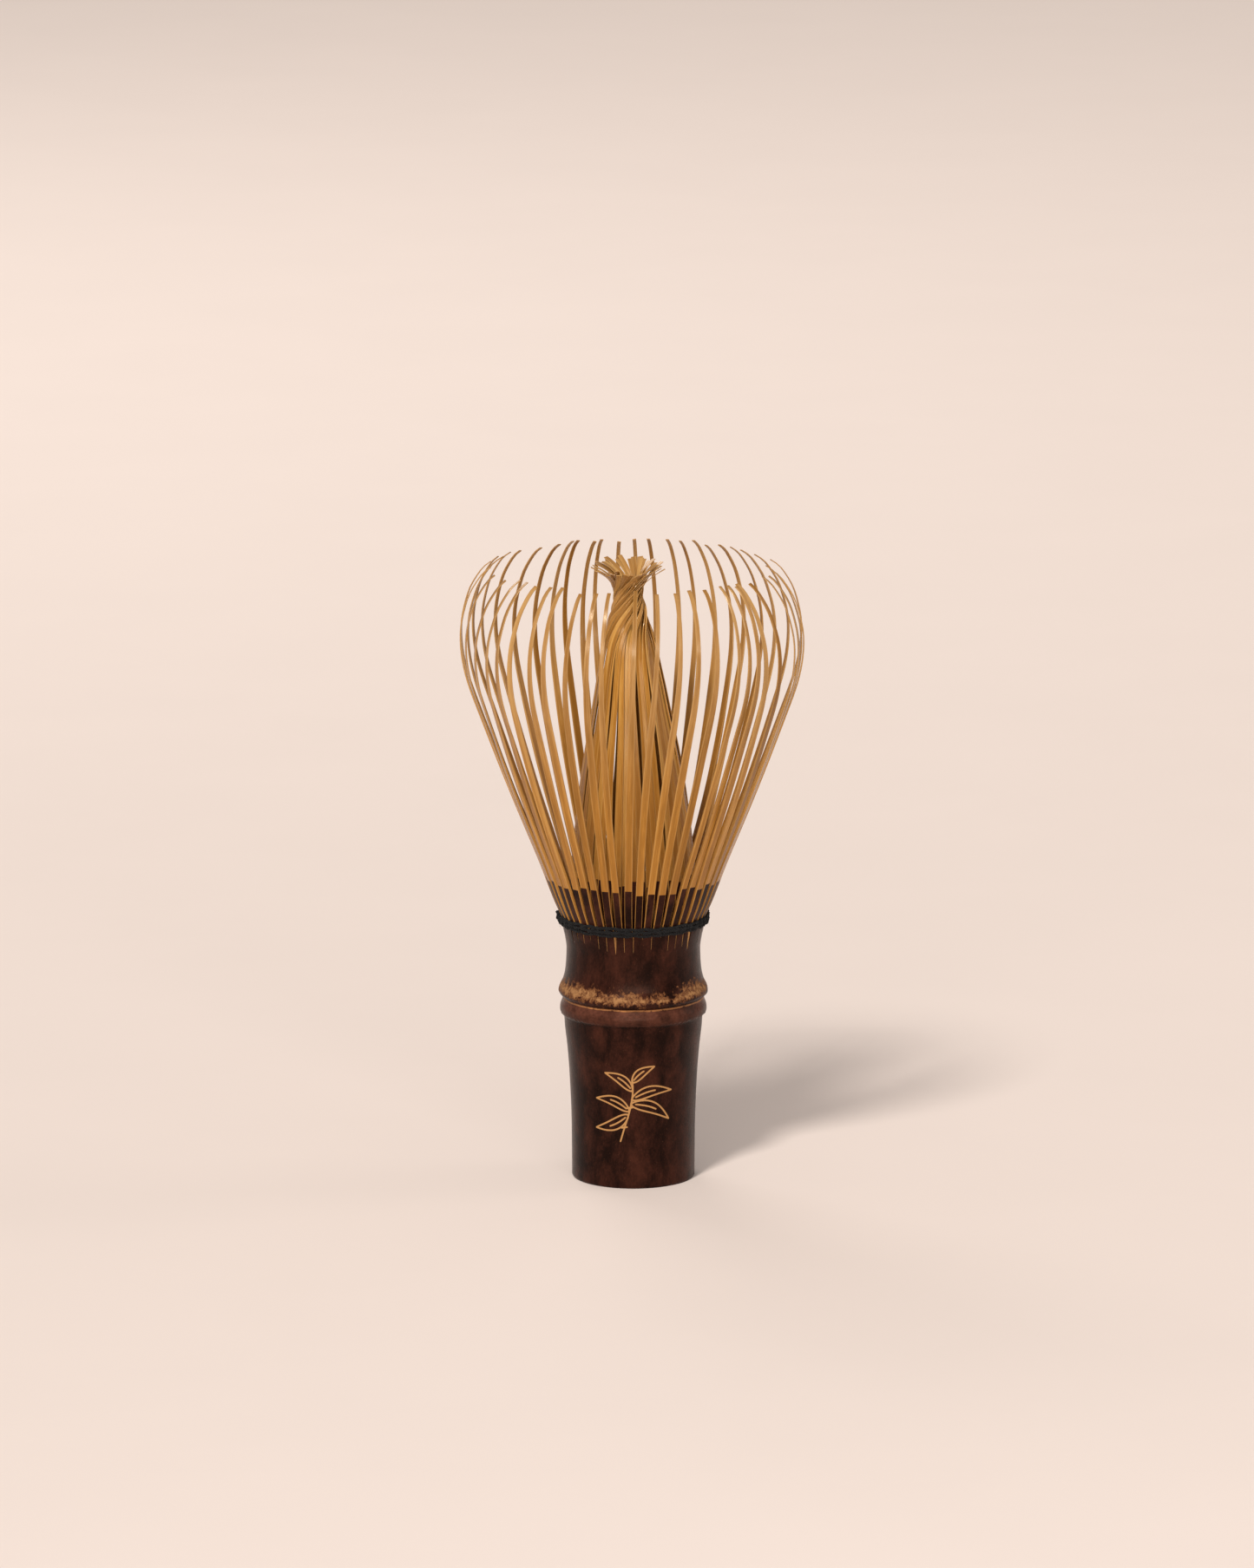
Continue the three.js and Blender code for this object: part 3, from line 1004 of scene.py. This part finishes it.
def outer_rounds(shape, rng):
    """The rounds outside the tines, which rise over each tine and dip between two."""
    azimuth = np.linspace(0, 2 * math.pi, ROUND_STEPS)
    crest = np.cos(TINES * azimuth - math.pi)
    for z, r, phase in ROUNDS:
        wander = ripple(rng, (2, 3, 5), azimuth) * 0.12 + ripple(rng, (13, 19, 31), azimuth) * 0.1
        lift = 0.07 * np.sin(TINES / 2 * azimuth + phase * 5)
        radius = r + 0.17 * crest + 0.04 * ripple(rng, (9, 17), azimuth)
        plied(shape, around(radius, azimuth, z + wander + lift), 1.0 + 0.05 * rng.gauss(0, 1), phase)


def inner_round(shape):
    """The round between the outer and the inner tines."""
    azimuth = np.linspace(0, 2 * math.pi, ROUND_STEPS)
    plied(shape, around(INSIDE_RADIUS, azimuth, THREAD_Z + 0.1 * np.sin(TINES / 2 * azimuth)), 0.8)


def crossing(shape, rng, azimuth):
    """The thread's way in through the gap between two tines."""
    t = np.linspace(0, 1, 6)
    start = THREAD_Z + rng.choice((-0.5, 0.5))
    path = around(CROSSING_START - CROSSING_LENGTH * t, azimuth, start + (THREAD_Z - start) * t)
    plied(shape, path, 0.85, rng.uniform(0, 6))


def stitch(shape, rng, azimuth):
    """A short slanting turn over a tine, which makes the band knobbly."""
    across = np.linspace(-STITCH_REACH, STITCH_REACH, 10)
    rise = rng.choice((-1, 1)) * rng.uniform(0.3, 0.75)
    bulge = STITCH_RADIUS + 0.12 * np.cos(across / STITCH_REACH * math.pi / 2)
    z = THREAD_Z + rise * across / STITCH_REACH + rng.gauss(0, 0.1)
    plied(shape, around(bulge, azimuth + across * PITCH, z), 0.82, rng.uniform(0, 6))


def knot(shape):
    """Where the thread is tied off, at the left, and where it starts, at the right."""
    tied, loose_end, start, second = (math.radians(angle) for angle in (184, 186, -9, -4))
    t = np.linspace(0, 2 * math.pi, 26)
    for tilt in (0.5, -0.6):
        z = THREAD_Z + 0.35 + 0.5 * np.sin(t + tilt)
        plied(shape, around(14.2 + 0.28 * np.sin(2 * t + tilt), tied + 0.035 * np.cos(t), z), 0.85)
    s = np.linspace(0, 1, 14)
    plied(shape, around(14.25 + 0.35 * s ** 2, loose_end - 0.10 * s, THREAD_Z + 0.5 + 0.6 * s), 0.8)
    plied(shape, around(14.05 + 0.15 * s, start + 0.22 * s, THREAD_Z + 0.3 + 0.85 * s ** 1.5), 0.95)
    plied(shape, around(14.1 + 0.1 * s, second + 0.16 * s, THREAD_Z + 1.0 - 0.5 * s), 0.9)


def lint(shape, rng):
    """Loose cotton fibres that stand off the thread, one in fourteen of them long."""
    t = np.linspace(0, 1, 6)
    for i in range(LINT_COUNT):
        a = rng.uniform(0, 2 * math.pi)
        z = THREAD_Z + rng.uniform(-1.0, 1.0)
        length = rng.uniform(0.5, 1.5) if i % 14 else rng.uniform(2.0, 3.8)
        way = rng.uniform(-1, 1)
        out = rng.uniform(0.15, 0.75)
        rise = rng.uniform(-0.6, 0.6)
        curl = rng.uniform(-0.5, 0.5)
        angle = a + (way * t + curl * t * t) * length / 14.0
        r = 14.0 + out * length * 0.45 * t - 0.2 * t * t * length * 0.3
        tube(shape, around(r, angle, z + rise * length * t), LINT_RADIUS * (1 - 0.6 * t), 3)


def thread():
    """The cotton thread, laced in and out between the outer and the inner tines."""
    rng = random.Random(THREAD_SEED)
    shape = Shape()
    outer_rounds(shape, rng)
    inner_round(shape)
    for k in range(TINES):
        crossing(shape, rng, k * PITCH + rng.gauss(0, 0.006))
        if rng.random() < STITCH_CHANCE:
            stitch(shape, rng, (k + 0.5) * PITCH)
    knot(shape)
    lint(shape, rng)
    ob = shape.mesh("binding_thread_cotton", [COTTON])
    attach(ob, "culm")
    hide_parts("binding_thread")


culm()
for number in range(1, TINES + 1):
    outer_tine(number)
for group in range(INNER_GROUPS):
    inner_group(group)
thread()


# --- Floor, light and camera ---

FLOOR_COLOUR = (0.79, 0.69, 0.64)
FLOOR_SIZE_M = 30

# The photo's viewing angle, from far enough for its flat perspective.
CAMERA_TARGET_M = (-0.0012, 0, 0.0762)
CAMERA_ELEVATION = 12.25
CAMERA_DISTANCE_M = 2.0
CAMERA_SENSOR, CAMERA_LENS = 36, 242.3

LIGHT_TARGET_M = (0, 0, 0.08)
WARM_WHITE = (1.0, 0.95, 0.9)
SKY_WHITE = (1.0, 0.955, 0.92, 1)
SKY_STRENGTH = 0.3
# Area lights: name, place and size in metres, power in watts.
LAMPS = [
    ("front", (0.06, -1.1, 0.37), (1.1, 0.11), 6.3),
    ("right", (1.1, 0.2, 0.5), (0.4, 0.8), 1.6),
    ("back", (-0.5, 1.1, 0.9), (0.8, 0.5), 5),
]


def floor():
    """A plain pale floor."""
    half = FLOOR_SIZE_M / 2
    corners = [(-half, -half, 0), (half, -half, 0), (half, half, 0), (-half, half, 0)]
    me = bpy.data.meshes.new("floor")
    me.from_pydata(corners, [], [(0, 1, 2, 3)])
    ob = add_to_scene("floor", me)
    m = Material("pale_floor", Roughness=0.9, Specular_IOR_Level=0.1)
    m.colour(m.mix(m.noise(m.place(), 0.02), FLOOR_COLOUR, tuple(c * 0.97 for c in FLOOR_COLOUR)))
    me.materials.append(m.material)


def area_light(name, place, size, watts):
    """A rectangular soft lamp that faces the whisk."""
    data = bpy.data.lights.new(name, "AREA")
    data.shape = "RECTANGLE"
    data.size, data.size_y = size
    data.energy = watts
    data.color = WARM_WHITE
    ob = add_to_scene(name, data)
    ob.location = place
    ob.rotation_euler = (Vector(LIGHT_TARGET_M) - Vector(place)).to_track_quat("-Z", "Y").to_euler()


def sun_light(name, azimuth, elevation, strength, spread, colour):
    """A soft sun. azimuth is in degrees to the right of the front, elevation above the floor."""
    data = bpy.data.lights.new(name, "SUN")
    data.energy = strength
    data.angle = math.radians(spread)
    data.color = colour
    a, e = math.radians(azimuth), math.radians(elevation)
    towards = Vector((math.sin(a) * math.cos(e), -math.cos(a) * math.cos(e), math.sin(e)))
    add_to_scene(name, data).rotation_euler = towards.to_track_quat("Z", "Y").to_euler()


def studio():
    """Plain soft light: a dim sky, a soft sun from the upper left and three lamps."""
    world = bpy.data.worlds.new("studio")
    world.use_nodes = True
    background = world.node_tree.nodes["Background"]
    background.inputs["Color"].default_value = SKY_WHITE
    background.inputs["Strength"].default_value = SKY_STRENGTH
    bpy.context.scene.world = world
    sun_light("key", azimuth=-24, elevation=47, strength=2.3, spread=9, colour=(1.0, 0.95, 0.89))
    for name, place, size, watts in LAMPS:
        area_light(name, place, size, watts)
    bpy.context.scene.view_settings.view_transform = "Standard"
    bpy.context.scene.view_settings.look = "None"


def camera():
    data = bpy.data.cameras.new("camera")
    data.sensor_width = CAMERA_SENSOR
    data.lens = CAMERA_LENS
    data.clip_start, data.clip_end = 0.05, 60
    ob = add_to_scene("camera", data)
    elevation = math.radians(CAMERA_ELEVATION)
    back = Vector((0, -math.cos(elevation), math.sin(elevation)))
    ob.location = Vector(CAMERA_TARGET_M) + back * CAMERA_DISTANCE_M
    ob.rotation_euler = (-back).to_track_quat("-Z", "Y").to_euler()
    bpy.context.scene.camera = ob


floor()
camera()
studio()
